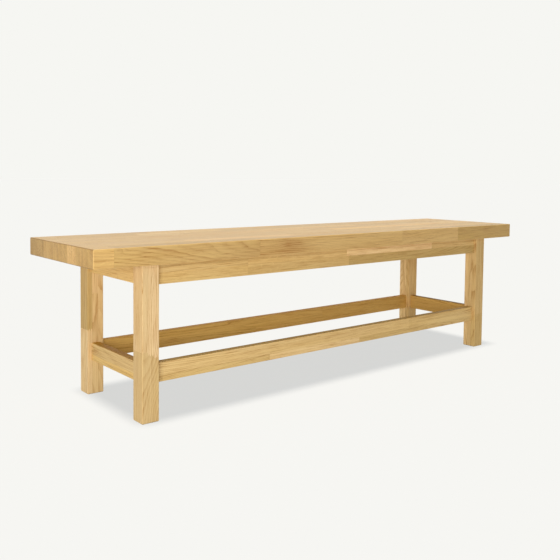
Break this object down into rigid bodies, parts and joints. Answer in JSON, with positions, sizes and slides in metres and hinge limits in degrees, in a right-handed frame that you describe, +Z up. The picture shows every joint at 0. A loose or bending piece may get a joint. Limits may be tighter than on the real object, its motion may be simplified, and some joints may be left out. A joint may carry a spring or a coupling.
{
  "type": "wooden bench",
  "caption": "Long oak bench: a thick laminated seat with overhanging ends on square legs, joined by rails under the seat and by stretchers near the floor.",
  "frame": {"origin": "on the floor, under the middle of the seat", "axes": "+X along the bench to the right as seen from the front, +Y to the back, +Z up; the front long side faces -Y"},
  "size_m": [1.7, 0.4, 0.45],
  "materials": {
    "seat_oak": "pale oak staves, satin oil",
    "frame_oak": "golden oak, satin oil",
    "button_oak": "plain planed oak",
    "screw_steel": "zinc plated"
  },
  "bodies": {
    "root": {"seat_stave_1": "seat_oak", "seat_stave_2": "seat_oak", "seat_stave_3": "seat_oak", "seat_stave_4": "seat_oak", "seat_stave_5": "seat_oak", "seat_stave_6": "seat_oak", "seat_stave_7": "seat_oak", "seat_stave_8": "seat_oak", "leg_front_left": "frame_oak", "leg_front_right": "frame_oak", "leg_back_left": "frame_oak", "leg_back_right": "frame_oak", "long_rail_front": "frame_oak", "long_rail_back": "frame_oak", "end_rail_left": "frame_oak", "end_rail_right": "frame_oak", "long_stretcher_front": "frame_oak", "long_stretcher_back": "frame_oak", "end_stretcher_left": "frame_oak", "end_stretcher_right": "frame_oak", "button_front_1": "button_oak", "button_front_2": "button_oak", "button_front_3": "button_oak", "button_back_1": "button_oak", "button_back_2": "button_oak", "button_back_3": "button_oak", "button_left_1": "button_oak", "button_left_2": "button_oak", "button_right_1": "button_oak", "button_right_2": "button_oak", "screw_front_1": "screw_steel", "screw_front_2": "screw_steel", "screw_front_3": "screw_steel", "screw_back_1": "screw_steel", "screw_back_2": "screw_steel", "screw_back_3": "screw_steel", "screw_left_1": "screw_steel", "screw_left_2": "screw_steel", "screw_right_1": "screw_steel", "screw_right_2": "screw_steel"}
  },
  "joints": []
}
